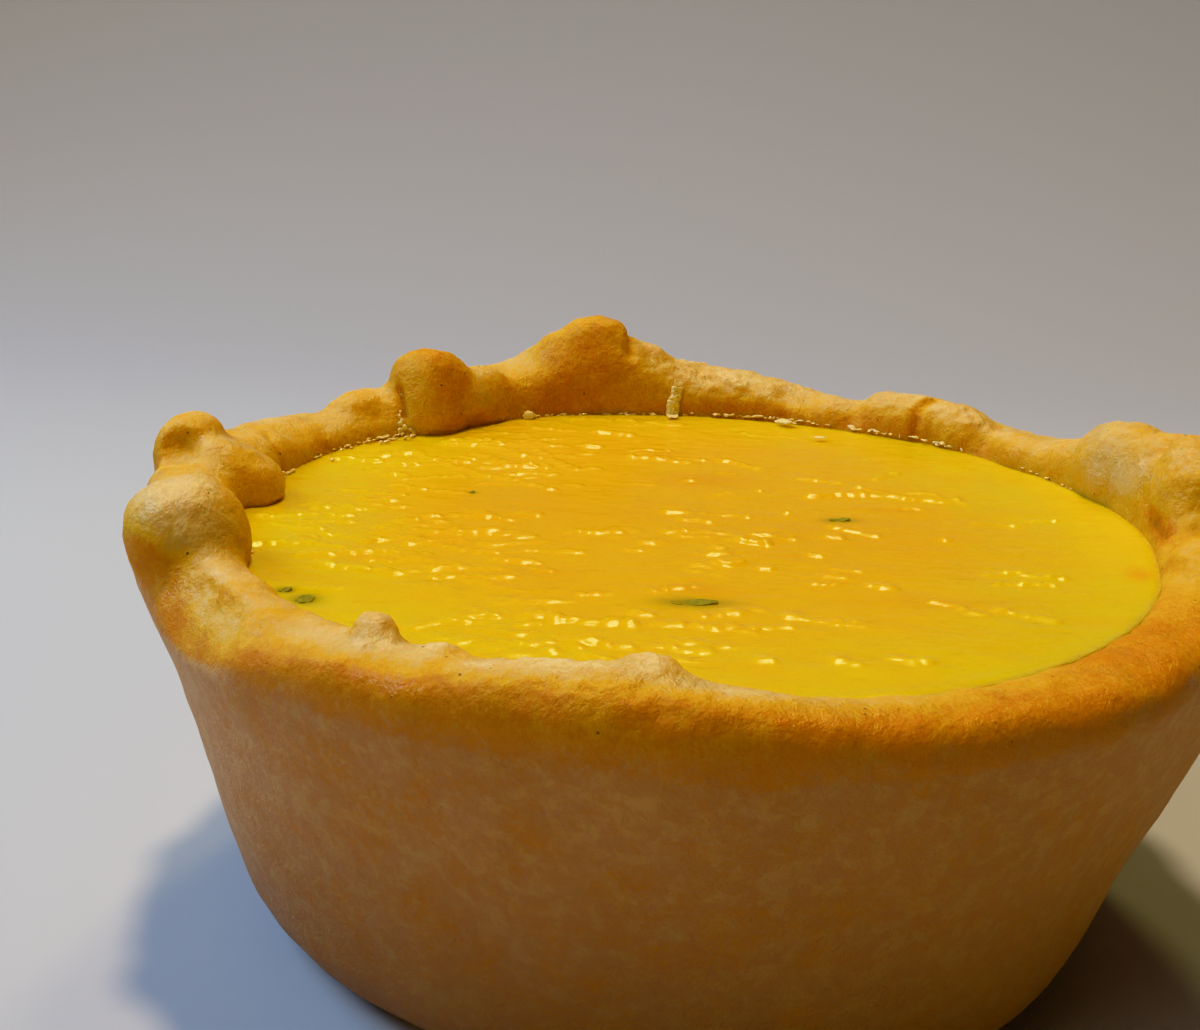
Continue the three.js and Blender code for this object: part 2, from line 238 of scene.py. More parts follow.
# Blisters in the skin: centre, half length, half width, turn in degrees, height, and whether the
# middle has sunk back so that only a ring stands up.
BLISTERS = [
    (2.9, -8.1, 1.0, 0.9, 0, 0.14, False),
    (4.6, -3.0, 1.5, 1.0, 12, 0.12, True),
    (2.2, -5.3, 0.5, 0.5, 0, 0.15, False),
    (5.2, -9.0, 0.7, 0.5, 20, 0.16, False),
    (-11.4, 12.6, 0.9, 0.6, -20, 0.14, True),
    (-14.4, -0.1, 0.8, 0.5, -25, 0.13, True),
    (-11.0, 0.3, 0.9, 0.6, -20, 0.15, False),
    (-9.0, -11.6, 0.8, 0.4, -10, 0.13, False),
    (5.2, 8.6, 0.3, 0.3, 0, 0.16, False),
    (7.0, 3.4, 0.3, 0.3, 0, 0.16, False),
    (17.6, -1.0, 0.4, 0.5, 0, 0.15, False),
    (8.5, -5.9, 0.7, 0.3, -20, 0.14, False),
]
WRINKLE_CLUSTERS = 170
WRINKLED_RADIUS = 28.5
# Where the clusters crowd together (or are rare, where negative): centre (x, y), how far that reaches
# along X and along Y, and how much.
CROWDED_SKIN = [
    (19, 0, 9, math.inf, -0.6),
    (-4, 8, 14, 12, 0.3),
    (-19, 0, 9, math.inf, 0.8),
]
# The skin's folds lie across the way to the near side, and their near slopes are alike, so that they
# shine together.
FOLD_TURN = 7.0
FOLD_TURN_PER_X = -1.4
FOLD_SLOPE = 0.28
FOLD_SLOPE_PER_Y = 0.0015

CUSTARD_GROWTH = 0.55  # how far its side grows, so that it reaches the case
MENISCUS_REACH = 0.7

# Patches of deeper yolk colour: centre (x, y), how far they reach along X and along Y, and how much.
YOLK_PATCHES = [
    (0.8, 10.8, 4.0, 2.2, 0.8),
    (-2.4, 17.3, 4.5, 1.4, 0.5),
    (1.0, -13.9, 2.6, 1.3, 0.7),
    (-9.2, -12.1, 2.4, 1.2, 0.5),
    (-10.0, 2.0, 9.0, 6.0, 0.35),
    (9.0, -2.0, 9.0, 6.0, 0.35),
    (14.5, 5.2, 2.2, 0.5, 0.7),
    (15.0, -14.5, 5.0, 1.2, 0.5),
    (29.4, -7.0, 0.9, 1.3, 1.0),
    (-20.0, -11.0, 2.5, 1.0, 0.4),
]

# Herb flecks in the skin: centre (x, y), length, width and turn in degrees.
HERBS = [
    (-15.6, 4.8, 0.45, 0.30, 20),
    (10.6, 2.1, 1.5, 0.55, 8),
    (0.6, -16.3, 3.0, 0.8, 6),
    (-22.8, -18.7, 1.3, 0.9, 55),
    (-24.3, -17.4, 0.9, 0.5, 20),
]
HERB_SINK = 0.01
HERB_THICK = 0.08
# Crumbs on the custard: azimuth, radius, length, width, thickness and turn in degrees.
LOOSE_CRUMBS = [
    (117.1, 29.6, 1.0, 0.9, 0.8, 15),
    (115.9, 29.8, 0.35, 0.3, 0.3, 60),
    (74.8, 29.6, 1.7, 0.8, 0.35, -20),
    (66.8, 26.5, 1.1, 0.6, 0.14, 10),
    (157.5, 29.2, 0.35, 0.3, 0.2, 0),
]
# A pale flake that clings to the inside of the back: (azimuth, height) down its middle, the radius
# there, its width, its thickness and how far its middle stands off the case.
FLAKE_PATH = [(92.9, 29.1), (92.9, 28.5), (93.1, 27.9), (93.2, 27.3), (93.3, 25.8)]
FLAKE_RADIUS = 30.2
FLAKE_WIDTH = 1.2
FLAKE_THICK = 0.12
FLAKE_STAND = 0.34
# Beads of butter along the custard's edge: from one azimuth to another, how many, their radius, and
# how far they spread onto the custard.
BUTTER_RUNS = [
    (46, 66, 50, 0.13, 0.6),
    (66, 76, 16, 0.10, 0.3),
    (76, 81, 18, 0.13, 0.5),
    (81, 92, 24, 0.12, 0.25),
    (96, 116, 44, 0.12, 0.25),
    (139, 146, 34, 0.12, 1.5),
    (146, 152, 20, 0.11, 0.8),
    (152, 158, 8, 0.11, 0.4),
    (165, 172, 14, 0.15, 0.5),
    (200, 204, 6, 0.18, 0.5),
    (20, 46, 16, 0.09, 0.3),
]
# Drops that run down the cleft on the left of the knuckle: azimuth, height and radius.
BUTTER_DRIPS = [
    (139.0, 28.5, 0.16),
    (139.4, 28.2, 0.20),
    (139.2, 27.9, 0.20),
    (139.8, 27.7, 0.22),
    (139.3, 27.4, 0.26),
    (140.1, 27.2, 0.24),
    (138.6, 27.2, 0.20),
    (138.2, 27.0, 0.18),
]
# Fine crumbs on the rim's top: how many, where they crowd together (azimuth, how far that reaches and
# how much), and between which radii, heights and sizes they lie.
RIM_CRUMBS = 220
CRUMB_CROWDS = [(80, 26, 0.9), (20, 30, 0.5)]
RIM_RADII = (31, 37)
RIM_HEIGHTS = (27.5, 33.8)
RIM_CRUMB_SIZES = (0.18, 0.36)


# ---- arithmetic on points, in millimetres ----
def at(azimuth, radius, height):
    turn = math.radians(azimuth)
    return np.array([radius * math.cos(turn), radius * math.sin(turn), height])


def at_rim(turn):
    """Unit vectors that point outward at these azimuths."""
    turn = np.radians(turn)
    return np.stack([np.cos(turn), np.sin(turn), 0 * turn], axis=1)


def azimuths(points):
    return np.degrees(np.arctan2(points[:, 1], points[:, 0])) % 360


def radii(points):
    return np.hypot(points[:, 0], points[:, 1])


def turn_between(azimuth, middle):
    """Signed turn from one azimuth to others, in degrees."""
    return (azimuth - middle + 180) % 360 - 180


def ramp(values, low, high):
    """0 at low and 1 at high, level past them and smooth between. Low may be the greater."""
    share = np.clip((values - low) / (high - low), 0, 1)
    return share * share * (3 - 2 * share)


def bell(distance, spread):
    return np.exp(-((distance / spread) ** 2))


def turned(across, away, turn):
    """The same offset, measured along and beside a direction."""
    cosine, sine = math.cos(math.radians(turn)), math.sin(math.radians(turn))
    return across * cosine + away * sine, away * cosine - across * sine


def distance_to(points, path):
    """Distance of each point from a polyline."""
    nearest = np.full(len(points), np.inf)
    for start, end in zip(path[:-1], path[1:]):
        along = end - start
        share = np.clip((points - start) @ along / (along @ along), 0, 1)
        gap = points - start - share[:, None] * along
        nearest = np.minimum(nearest, np.linalg.norm(gap, axis=1))
    return nearest


def clouds(points, cell, seed=0):
    """Smooth gradient noise from about -1 to 1. cell is a cloud's size, one number or one per axis."""
    random = np.random.default_rng(seed)
    table = random.permutation(256)
    slopes = random.normal(size=(256, 3))
    slopes /= np.linalg.norm(slopes, axis=1)[:, None]
    scaled = points / np.asarray(cell, dtype=float) + 0.37
    corner = np.floor(scaled).astype(int)
    inside = scaled - corner
    fade = inside ** 3 * (inside * (inside * 6 - 15) + 10)
    total = np.zeros(len(points))
    for shift in itertools.product((0, 1), repeat=3):
        x, y, z = ((corner + shift) & 255).T
        slope = slopes[table[(table[(table[x] + y) & 255] + z) & 255]]
        weight = np.where(shift, fade, 1 - fade).prod(axis=1)
        total += weight * (slope * (inside - shift)).sum(axis=1)
    return 1.6 * total


# ---- objects ----
def select_only(piece):
    bpy.ops.object.select_all(action="DESELECT")
    piece.select_set(True)
    bpy.context.view_layer.objects.active = piece


def new_piece(name, add, **settings):
    """A piece made by one of Blender's operators that add a mesh."""
    bpy.ops.object.select_all(action="DESELECT")
    add(**settings)
    bpy.context.object.name = name
    return bpy.context.object


@contextlib.contextmanager
def edit_mode():
    bpy.ops.object.mode_set(mode="EDIT")
    try:
        yield
    finally:
        bpy.ops.object.mode_set(mode="OBJECT")


def apply_modifier(piece, kind, **settings):
    modifier = piece.modifiers.new(kind.title(), kind)
    for name, value in settings.items():
        setattr(modifier, name, value)
    select_only(piece)
    bpy.ops.object.modifier_apply(modifier=modifier.name)


def thicken(piece, thickness):
    apply_modifier(piece, "SOLIDIFY", thickness=thickness * MM, offset=0)
    apply_modifier(piece, "SUBSURF", levels=1, render_levels=1)


def copy_of_node(node, name):
    """A copy of a CAD node's mesh, its loose triangles merged."""
    piece = bpy.data.objects.new(name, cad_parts[node].data.copy())
    bpy.context.scene.collection.objects.link(piece)
    piece.data.materials.clear()
    select_only(piece)
    with edit_mode():
        bpy.ops.mesh.select_all(action="SELECT")
        bpy.ops.mesh.remove_doubles(threshold=0.001 * MM)
    return piece


def vectors_of(piece, name):
    flat = np.empty(len(piece.data.vertices) * 3)
    piece.data.vertices.foreach_get(name, flat)
    return flat.reshape(-1, 3)


def points_of(piece):
    return vectors_of(piece, "co") / MM


def normals_of(piece):
    return vectors_of(piece, "normal")


def move_points(piece, points):
    piece.data.vertices.foreach_set("co", (points * MM).ravel())
    piece.data.update()


def paint(piece, name, values):
    """Stores one number for each vertex, for the material to read."""
    attribute = piece.data.attributes.new(name, "FLOAT", "POINT")
    attribute.data.foreach_set("value", np.clip(values, 0, 1).astype(np.float32))


def thin_out(piece, chosen, ratio):
    """Leaves fewer faces among the chosen points, where little or nothing of the piece shows."""
    select_only(piece)
    with edit_mode():
        bpy.ops.mesh.select_mode(type="VERT")
        bpy.ops.mesh.select_all(action="DESELECT")
    piece.data.vertices.foreach_set("select", chosen(points_of(piece)))
    with edit_mode():
        bpy.ops.mesh.decimate(ratio=ratio)


def surface_of(piece):
    return BVHTree.FromObject(piece, bpy.context.evaluated_depsgraph_get())


def snapped(surface, path):
    """The points of a path, moved onto the nearest place of a surface."""
    return [np.array(surface.find_nearest(Vector(at(*p)) * MM)[0]) / MM for p in path]


def nearness(points, places):
    """1 at the middle of the nearest place, falling off over its reach. Without places, 1 everywhere."""
    share = np.full(len(points), 0.0 if places else 1.0)
    for azimuth, radius, height, reach in places:
        gap = np.linalg.norm(points - at(azimuth, radius, height), axis=1)
        share = np.maximum(share, bell(gap, reach))
    return share


def ease_surface(piece, passes, places=(), hollows_only=True):
    """Rounds the hollow creases where folds meet, or, near the places, the sharp edges as well."""
    points = points_of(piece)
    share = nearness(points, places)
    ends = np.empty(len(piece.data.edges) * 2, dtype=int)
    piece.data.edges.foreach_get("vertices", ends)
    ends = ends.reshape(-1, 2)
    near, far = np.concatenate([ends, ends[:, ::-1]]).T
    moved = np.flatnonzero(share > 0.02)
    number = np.full(len(points), -1)
    number[moved] = np.arange(len(moved))
    kept = number[near] >= 0
    near, far = number[near[kept]], far[kept]
    neighbours = np.bincount(near, minlength=len(moved))[:, None]
    lowest = 0 if hollows_only else -np.inf
    for _ in range(passes):
        normals = normals_of(piece)[moved]
        middle = np.stack([np.bincount(near, points[far, axis], len(moved)) for axis in range(3)], axis=1)
        rise = ((middle / neighbours - points[moved]) * normals).sum(axis=1)
        points[moved] += 0.5 * normals * (share[moved] * np.maximum(rise, lowest))[:, None]
        move_points(piece, points)


def swell_folds(piece, places):
    """Plumps up the dough where folds lie heaped on each other."""
    points, normals = points_of(piece), normals_of(piece)
    swell = np.zeros(len(points))
    for azimuth, radius, height, reach, rise in places:
        swell = np.maximum(swell, rise * nearness(points, [(azimuth, radius, height, reach)]))
    move_points(piece, points + normals * swell[:, None])


def finish_piece(piece, material, node):
    piece.data.materials.append(material)
    select_only(piece)
    bpy.ops.object.shade_smooth()
    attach(piece, "root")
    if node:
        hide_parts(node)


# ---- shader helpers ----
def add_node(tree, kind, **inputs):
    node = tree.nodes.new(kind)
    for name, value in inputs.items():
        setattr(node, name, value)
    return node


def feed(tree, target, value):
    """Links a socket to another one or gives it a value, which for a colour is three numbers."""
    if isinstance(value, bpy.types.NodeSocket):
        tree.links.new(value, target)
    else:
        target.default_value = (*value, 1) if target.type == "RGBA" else value


def feed_all(tree, node, values):
    for name, value in values.items():
        feed(tree, node.inputs[name], value)


def math_node(tree, operation, *terms):
    node = add_node(tree, "ShaderNodeMath", operation=operation)
    for socket, term in zip(node.inputs, terms):
        feed(tree, socket, term)
    return node.outputs[0]


def scaled_point(tree, size=1, stretch=(1, 1, 1)):
    """Object coordinates in steps of a size in millimetres, stretched along the axes."""
    mapping = add_node(tree, "ShaderNodeMapping")
    place = add_node(tree, "ShaderNodeTexCoord").outputs["Object"]
    feed_all(tree, mapping, {"Vector": place, "Scale": [1 / (MM * size * s) for s in stretch]})
    return mapping.outputs["Vector"]


def noise_node(tree, size, detail=3.0, rough=0.55, distort=0.0, stretch=(1, 1, 1)):
    node = add_node(tree, "ShaderNodeTexNoise")
    feed_all(tree, node, {"Vector": scaled_point(tree, size, stretch), "Scale": 1, "Detail": detail,
                          "Roughness": rough, "Distortion": distort})
    return node.outputs["Fac"]


def cells_node(tree, size):
    node = add_node(tree, "ShaderNodeTexVoronoi")
    feed_all(tree, node, {"Vector": scaled_point(tree, size), "Scale": 1})
    return node


def range_node(tree, value, low, high, to_low=0.0, to_high=1.0):
    node = add_node(tree, "ShaderNodeMapRange", interpolation_type="SMOOTHSTEP")
    for socket, number in zip(node.inputs[:5], (value, low, high, to_low, to_high)):
        feed(tree, socket, number)
    return node.outputs[0]


def mix_colour(tree, share, first, second):
    node = add_node(tree, "ShaderNodeMix", data_type="RGBA")
    feed(tree, node.inputs["Factor"], share)
    feed(tree, node.inputs[6], first)
    feed(tree, node.inputs[7], second)
    return node.outputs[2]


def shades_node(tree, value, shades):
    """A colour ramp through (place, colour) pairs."""
    node = add_node(tree, "ShaderNodeValToRGB")
    tree.links.new(value, node.inputs["Fac"])
    elements = node.color_ramp.elements
    while len(elements) < len(shades):
        elements.new(1)
    for element, (place, colour) in zip(elements, shades):
        element.position = place
        element.color = (*colour, 1)
    return node.outputs["Color"]


def attribute_node(tree, name):
    return add_node(tree, "ShaderNodeAttribute", attribute_name=name).outputs["Fac"]


def new_group(name, inputs, outputs):
    """An empty shader node group with its sockets, and its two ends."""
    tree = bpy.data.node_groups.new(name, "ShaderNodeTree")
    for socket, default in inputs:
        entry = tree.interface.new_socket(socket, in_out="INPUT", socket_type="NodeSocketFloat")
        entry.default_value = default
    for socket, kind in outputs:
        tree.interface.new_socket(socket, in_out="OUTPUT", socket_type=kind)
    return tree, tree.nodes.new("NodeGroupInput"), tree.nodes.new("NodeGroupOutput")


def new_material(name):
    material = bpy.data.materials.new(name)
    material.use_nodes = True
    return material, material.node_tree, material.node_tree.nodes["Principled BSDF"]


def bump_node(tree, shader, height, distance):
    bump = add_node(tree, "ShaderNodeBump")
    feed_all(tree, bump, {"Strength": 1, "Distance": distance * MM, "Height": height})
    feed(tree, shader.inputs["Normal"], bump.outputs["Normal"])


def flesh(weight, radius):
    """How light passes into a food: uniform values for the shader's own sockets."""
    return {"Subsurface Weight": weight, "Subsurface Radius": [r * MM for r in radius],
            "Subsurface Scale": 1}


# ---- what a user may change ----
def colour_setting(name, description, default):
    return FloatVectorProperty(name=name, description=description, default=default, subtype="COLOR")


def length_setting(name, description, default):
    return FloatProperty(name=name, description=description, default=default * MM,
                         subtype="DISTANCE", unit="LENGTH")


def power_setting(name, description, default):
    return FloatProperty(name=name, description=description, default=default, subtype="POWER")


class PastrySettings(bpy.types.PropertyGroup):
    """Sizes and colours of the baked dough"""

    cell: length_setting("Mesh cell", "Size of a face of the case", 0.26)
    grain: length_setting("Grain", "Height of the sandy grain", 0.08)
    # Palest also serves as painted light, on faces the lamps miss such as the left lump's near side
    palest: colour_setting("Palest", "Colour of dough that hardly baked", (0.84, 0.60, 0.23))
    pale: colour_setting("Pale", "Colour of lightly baked dough", (0.745, 0.50, 0.17))
    golden: colour_setting("Golden", "Colour of well baked dough", (0.735, 0.39, 0.03))
    deep: colour_setting("Deep", "Colour of the most baked dough", (0.615, 0.20, 0.010))
    # Painted shade deep in the creases
    crease_shade: colour_setting("Crease_shade", "Colour inside the clefts", (0.20, 0.05, 0.008))
    side: colour_setting("Side", "Colour of the wall that lay in the tin", (0.595, 0.29, 0.125))
    mottle: colour_setting("Mottles", "Colour of the wall's pale mottles", (0.65, 0.36, 0.155))
    # Painted shade: the wall darkens towards its foot
    foot: colour_setting("Foot", "Colour that the wall takes on towards its foot", (0.22, 0.095, 0.035))
    speck: colour_setting("Specks", "Colour of the dark specks in the rim", (0.10, 0.03, 0.006))
    # Paler than the dough, partly as broken dough is pale and partly as painted light on the crumbs and the
    # flake, which lie in shade
    crumb: colour_setting("Crumbs", "Colour of the loose crumbs and the flake", (0.98, 0.80, 0.30))


class CustardSettings(bpy.types.PropertyGroup):
    """Sizes and colours of the filling"""

    cell: length_setting("Mesh cell", "Size of a face of the custard", 0.21)
    wrinkle: length_setting("Wrinkles", "Height of the fine wrinkles of its skin", 0.10)
    meniscus: length_setting("Meniscus", "How far it climbs up the case", 0.12)
    yolk: colour_setting("Yolk", "Colour in the middle", (0.84, 0.45, 0.001))
    lemon: colour_setting("Lemon", "Colour towards the case", (0.78, 0.53, 0.008))
    amber: colour_setting("Amber", "Colour of the deepest patches", (0.80, 0.36, 0.001))
    streak: colour_setting("Streaks", "Colour of the streaks in the skin", (0.55, 0.24, 0.002))
    stain: colour_setting("Stains", "Colour round the herbs", (0.22, 0.17, 0.006))
    # Painted light: lightens the custard where it meets the case, against the shade in the gap there
    edge_light: colour_setting("Edge_light", "Colour where it meets the case", (0.92, 0.60, 0.12))


class BitsSettings(bpy.types.PropertyGroup):
    """Colours of the small pieces"""

    herb: colour_setting("Herb", "Colour of the herb flecks", (0.20, 0.17, 0.02))
    vein: colour_setting("Veins", "Colour of the herb's paler parts", (0.34, 0.27, 0.02))
    butter: colour_setting("Butter", "Colour of the beads of butter", (0.95, 0.72, 0.26))


class StageSettings(bpy.types.PropertyGroup):
    """Powers of the lamps"""

    lamp: power_setting("Lamp", "Power of the warm lamp overhead", 1.14)
    glint: power_setting("Glint", "Power of the warm lamp behind", 2.4)
    window: power_setting("Window", "Power of the cool window on the left", 0.50)
    fill: power_setting("Fill", "Power of the soft lamp in front", 0.86)


# ---- the pastry case ----
def press_creases(piece):
    """Presses the creases in and returns how deep in one each vertex lies, from 0 to 1, for the painted
    shade in the creases.
    """
    points, normals, surface = points_of(piece), normals_of(piece), surface_of(piece)
    push, dark = np.zeros(len(points)), np.zeros(len(points))
    for width, depth, lip, path in CREASES:
        gap = distance_to(points, snapped(surface, path))
        push += lip * bell(gap - 2.2 * width, width) - depth * bell(gap, width)
        dark = np.maximum(dark, bell(gap, width) * min(1, depth / FULL_SHADE_DEPTH))
    move_points(piece, points + normals * push[:, None])
    return dark


def roughen(piece):
    """The soft unevenness of rolled dough, and the crumbly breaks along the rim's top."""
    points, normals = points_of(piece), normals_of(piece)
    turn, height = azimuths(points), points[:, 2]
    rim = ramp(height, WALL_TOP + 2, WALL_TOP + 5)
    swell = sum((low + more * rim) * clouds(points, cell, seed) for cell, low, more, seed in DOUGH_SWELLS)
    broken = sum(much * bell(turn_between(turn, middle), reach) for middle, reach, much in CRUMBLY_STRETCHES)
    broken = np.minimum(broken, 1) * ramp(height, *CRUMBLY_FROM) * ramp(normals[:, 2], -0.3, 0.5)
    crumbs = sum(tall * clouds(points, cell, seed) for cell, tall, seed in CRUMBLY_RELIEF)
    above_foot = ramp(height, 0.3, 1.5)
    move_points(piece, points + normals * ((swell + broken * crumbs) * above_foot)[:, None])
    return broken


def toast_and_shade_of(points, normals, dark):
    """How dark the dough's colour is, from its browning together with painted light and painted shade: 0
    pale, 0.4 golden, 0.8 deep and 1 the painted shade deep in a crease.
    """
    turn, radius, height = azimuths(points), radii(points), points[:, 2]
    upward = normals[:, 2]
    outward = (normals * at_rim(turn)).sum(axis=1)
    # Painted light and painted shade: faces that look up are paler, as the lamp overhead lights them, and
    # lower faces that don't look up are a little darker
    toast = 0.45 - 0.25 * ramp(upward, 0.4, 0.95) + 0.08 * ramp(-height, -29, -26) * (upward < 0.5)
    toast += 0.10 * (1 - bell(turn_between(turn, 80), 34)) * ramp(upward, 0.1, 0.8)
    near = ramp(np.abs(turn_between(turn, 285)), 75, 50)
    lip = 0.42 * ramp(radius, 34.0, 37.0) + 0.26 * bell(turn_between(turn, 325), 24)
    toast += 0.06 * near + near * lip * ramp(upward, 0.1, 0.6)
    # Outward faces that look down under the lip are darker, partly browner baking and partly painted shade
    below_lip = ramp(height, 24, 26) * (1 - 0.8 * ramp(height, 28, 30.5))
    toast += 0.30 * ramp(outward, 0.15, 0.75) * below_lip * ramp(-upward, -0.8, -0.4)
    for azimuth, patch_radius, patch_height, along, tall, amount in TOAST_AND_SHADE_PATCHES:
        aside = np.radians(turn_between(turn, azimuth)) * patch_radius
        reach = (aside / along) ** 2 + ((height - patch_height) / tall) ** 2
        reach += ((radius - patch_radius) / PATCH_DEPTH) ** 2
        toast += amount * np.exp(-reach)
    # Painted shade in the creases
    return np.minimum(toast, MOST_TOAST_AND_SHADE) + 0.3 * dark


def unseen(points):
    """The inside of the case, where the custard covers it."""
    height = points[:, 2]
    inside = radii(points) < np.minimum(INNER_TOP, INNER_FOOT + INNER_DRAFT * height)
    return inside & (height > FLOOR_TOP) & (height < CUSTARD_TOP - CAVITY_DEPTH)


def outer_wall(points):
    height = points[:, 2]
    return (height < WALL_TOP) & (height >= FOOT_TOP) & (radii(points) > OUTER_WALL)


class MakePastryCase(bpy.types.Operator):
    """Make the pastry case from the CAD crust"""

    bl_idname = "quiche.pastry_case"
    bl_label = "Pastry case"

    def execute(self, context):
        settings = context.scene.quiche_pastry
        case = copy_of_node("crust", "pastry_case")
        apply_modifier(case, "REMESH", mode="VOXEL", voxel_size=settings.cell)
        swell_folds(case, HEAPED_FOLDS)
        apply_modifier(case, "REMESH", mode="VOXEL", voxel_size=settings.cell)
        thin_out(case, unseen, ratio=0.02)
        thin_out(case, lambda points: points[:, 2] < FOOT_TOP, ratio=0.05)
        thin_out(case, outer_wall, ratio=0.35)
        apply_modifier(case, "SMOOTH", factor=0.5, iterations=10)
        ease_surface(case, passes=60)
        ease_surface(case, passes=240, places=CLOSED_VALLEYS)
        ease_surface(case, passes=50, places=SOFT_EDGES, hollows_only=False)
        dark = press_creases(case)
        broken = roughen(case)
        points = np.clip(points_of(case), *(np.array(corner) / MM for corner in CAD_BOX))
        move_points(case, points)
        normals = normals_of(case)
        # The first attribute holds the browning together with painted light and painted shade; the cleft one
        # holds how deep in a crease each point lies, for the painted shade and lower roughness there
        paint(case, "toast", toast_and_shade_of(points, normals, dark))
        paint(case, "cleft", dark)
        paint(case, "broken", broken)
        outside = ramp(radii(points) - 0.3 * points[:, 2], 24, 26) * ramp(-normals[:, 2], -0.6, 0.0)
        paint(case, "tin", outside * ramp(27.2 - points[:, 2], 0, 2.2))
        finish_piece(case, pastry_material(settings), "crust")
        return {"FINISHED"}


def dough_group(settings):
    """Node group: the colour, roughness and relief of baked dough, with the painted light and painted shade
    that its inputs carry.
    """
    tree, start, end = new_group(
        "BakedDough",
        [("Toast", 0.4), ("Cleft", 0.0), ("Broken", 0.0), ("Tin", 0.0)],
        [("Colour", "NodeSocketColor"), ("Roughness", "NodeSocketFloat"), ("Height", "NodeSocketFloat")],
    )
    toast, cleft, broken, tin = (start.outputs[n] for n in ("Toast", "Cleft", "Broken", "Tin"))
    sand = noise_node(tree, 0.30, detail=2, rough=0.6)
    mottles = range_node(tree, noise_node(tree, 1.3, detail=4, rough=0.62, distort=0.4), 0.42, 0.68)
    brown = math_node(tree, "MULTIPLY_ADD", broken, -0.10, toast)
    for noise, much in ((noise_node(tree, 3.6), 0.09), (sand, -0.08), (noise_node(tree, 1.1), -0.05)):
        brown = math_node(tree, "ADD", brown, range_node(tree, noise, 0.3, 0.7, -much, much))
    # Only in the creases can the colour go on to the painted crease shade
    brown = math_node(tree, "MINIMUM", brown, math_node(tree, "MULTIPLY_ADD", cleft, 0.15, 0.81))
    # The palest colour also serves as painted light, where patches pale the dough
    shades = ((0.0, settings.palest), (0.09, settings.pale), (0.42, settings.golden),
              (0.82, settings.deep), (1.0, settings.crease_shade))
    baked = shades_node(tree, brown, shades)
    wall = mix_colour(tree, mottles, settings.side, settings.mottle)
    wall = mix_colour(tree, range_node(tree, brown, 0.52, 0.95), wall, settings.deep)
    axes = add_node(tree, "ShaderNodeSeparateXYZ")
    feed(tree, axes.inputs[0], scaled_point(tree))
    # Painted shade: the wall darkens towards its foot
    low = range_node(tree, axes.outputs["Z"], 0, WALL_TOP - 0.5, 0.50, 0)
    wall = mix_colour(tree, low, wall, settings.foot)
    baked = mix_colour(tree, tin, baked, wall)
    specks = cells_node(tree, 1.2)
    speck = range_node(tree, specks.outputs["Distance"], 0.06, 0.10, 1, 0)
    rare = range_node(tree, specks.outputs["Color"], 0.60, 0.62)
    bare = math_node(tree, "MULTIPLY_ADD", tin, -0.75, 0.75)
    dots = math_node(tree, "MULTIPLY", speck, math_node(tree, "MULTIPLY", rare, bare))
    feed(tree, end.inputs["Colour"], mix_colour(tree, dots, baked, settings.speck))
    wet = range_node(tree, noise_node(tree, 2.4, detail=2), 0.46, 0.64, 0.58, 0.30)
    wet = math_node(tree, "MAXIMUM", wet, math_node(tree, "MULTIPLY", tin, 0.55))
    feed(tree, end.inputs["Roughness"], math_node(tree, "MULTIPLY_ADD", cleft, -0.2, wet))
    fine = noise_node(tree, 0.16, detail=2, rough=0.5)
    pores = range_node(tree, noise_node(tree, 0.7, detail=3, rough=0.65), 0.35, 0.6)
    height = math_node(tree, "MULTIPLY_ADD", fine, 0.6, math_node(tree, "MULTIPLY", sand, 0.9))
    height = math_node(tree, "MULTIPLY_ADD", pores, 0.6, height)
    feed(tree, end.inputs["Height"], height)
    return tree


def pastry_material(settings, name="Baked shortcrust", softness=0.5, paleness=0.0):
    material, tree, shader = new_material(name)
    dough = add_node(tree, "ShaderNodeGroup", node_tree=dough_group(settings))
    for socket in dough.inputs:
        feed(tree, socket, attribute_node(tree, socket.name.lower()))
    colour = mix_colour(tree, paleness, dough.outputs["Colour"], settings.crumb)
    feed_all(tree, shader, {"Base Color": colour, "Roughness": dough.outputs["Roughness"],
                            "Specular IOR Level": 0.4, "Specular Tint": (1.0, 0.78, 0.40),
                            **flesh(softness, (1.6, 0.7, 0.2))})
    bump_node(tree, shader, dough.outputs["Height"], settings.grain / MM)
    return material


# ---- the custard ----
def blister_relief(points, x, y, long, wide, turn, height, sunken):
    """A flat-topped bubble, or only its ring."""
    ahead, aside = turned(points[:, 0] - x, points[:, 1] - y, turn)
    ragged = 1 + 0.18 * clouds(points * (1, 1, 0), 0.8, 31)
    reach = np.hypot(ahead / long, aside / wide) * ragged
    if sunken:
        return height * bell(reach - 0.85, 0.3)
    return height * (0.8 * ramp(-reach, -1.2, -0.8) + 0.3 * bell(reach - 0.85, 0.22))


def wrinkle_relief(points, x0, y0, x1, y1, width, height):
    """A fold of skin whose near side is one flat slope, so that it catches the light as a whole."""
    start, along = np.array([x0, y0]), np.array([x1 - x0, y1 - y0])
    length = math.hypot(*along)
    along = along / length
    away = np.array([-along[1], along[0]]) * (1 if along[0] >= 0 else -1)
    share = np.clip((points[:, :2] - start) @ along / length, 0, 1)
    slim = 1 - (2 * share - 1) ** 4
    aside = (points[:, :2] - start) @ away / (width * (0.25 + 0.75 * slim))
    return height * slim * np.clip((aside + 0.8) / 1.6, 0, 1) * (1 - ramp(aside, 0.9, 3.6))


